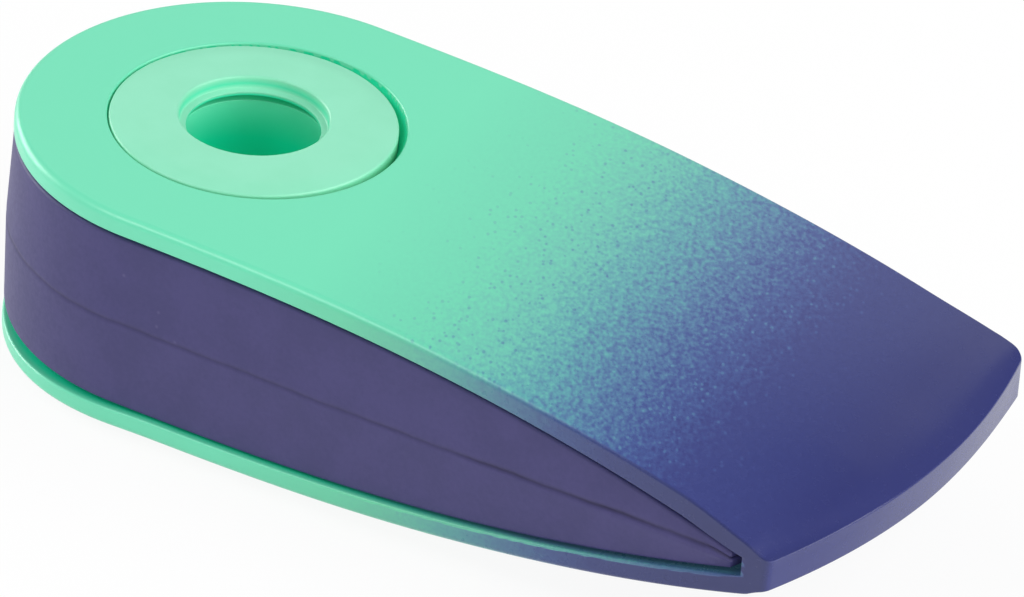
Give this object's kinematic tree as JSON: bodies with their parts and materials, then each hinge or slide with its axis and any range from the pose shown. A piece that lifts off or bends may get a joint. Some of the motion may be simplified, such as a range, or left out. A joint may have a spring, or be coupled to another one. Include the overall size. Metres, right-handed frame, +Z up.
{
  "type": "swivel eraser with sleeve",
  "caption": "Wedge-shaped eraser that turns out of a slim U-shaped plastic sleeve about a hollow round hub at its wide end.",
  "frame": {"origin": "middle of the length and width, on the surface that the lower plate rests on", "axes": "+X from the round hub end to the thin nose, +Z up along the hub axis"},
  "size_m": [0.054, 0.025, 0.0128],
  "materials": {
    "sleeve_plastic": "fine satin, mint sprayed to blue towards the nose",
    "hub_plastic": "smooth satin",
    "eraser_rubber": "matt"
  },
  "bodies": {
    "sleeve": {"sleeve": "sleeve_plastic"},
    "eraser": {"eraser": "eraser_rubber", "hub_base": "hub_plastic", "hub_cap": "hub_plastic"}
  },
  "joints": [
    {"name": "eraser_swing", "type": "hinge", "parent": "sleeve", "child": "eraser", "pos_m": [-0.0145, 0, 0.0064], "axis": [0, 0, 1], "continuous": true}
  ]
}
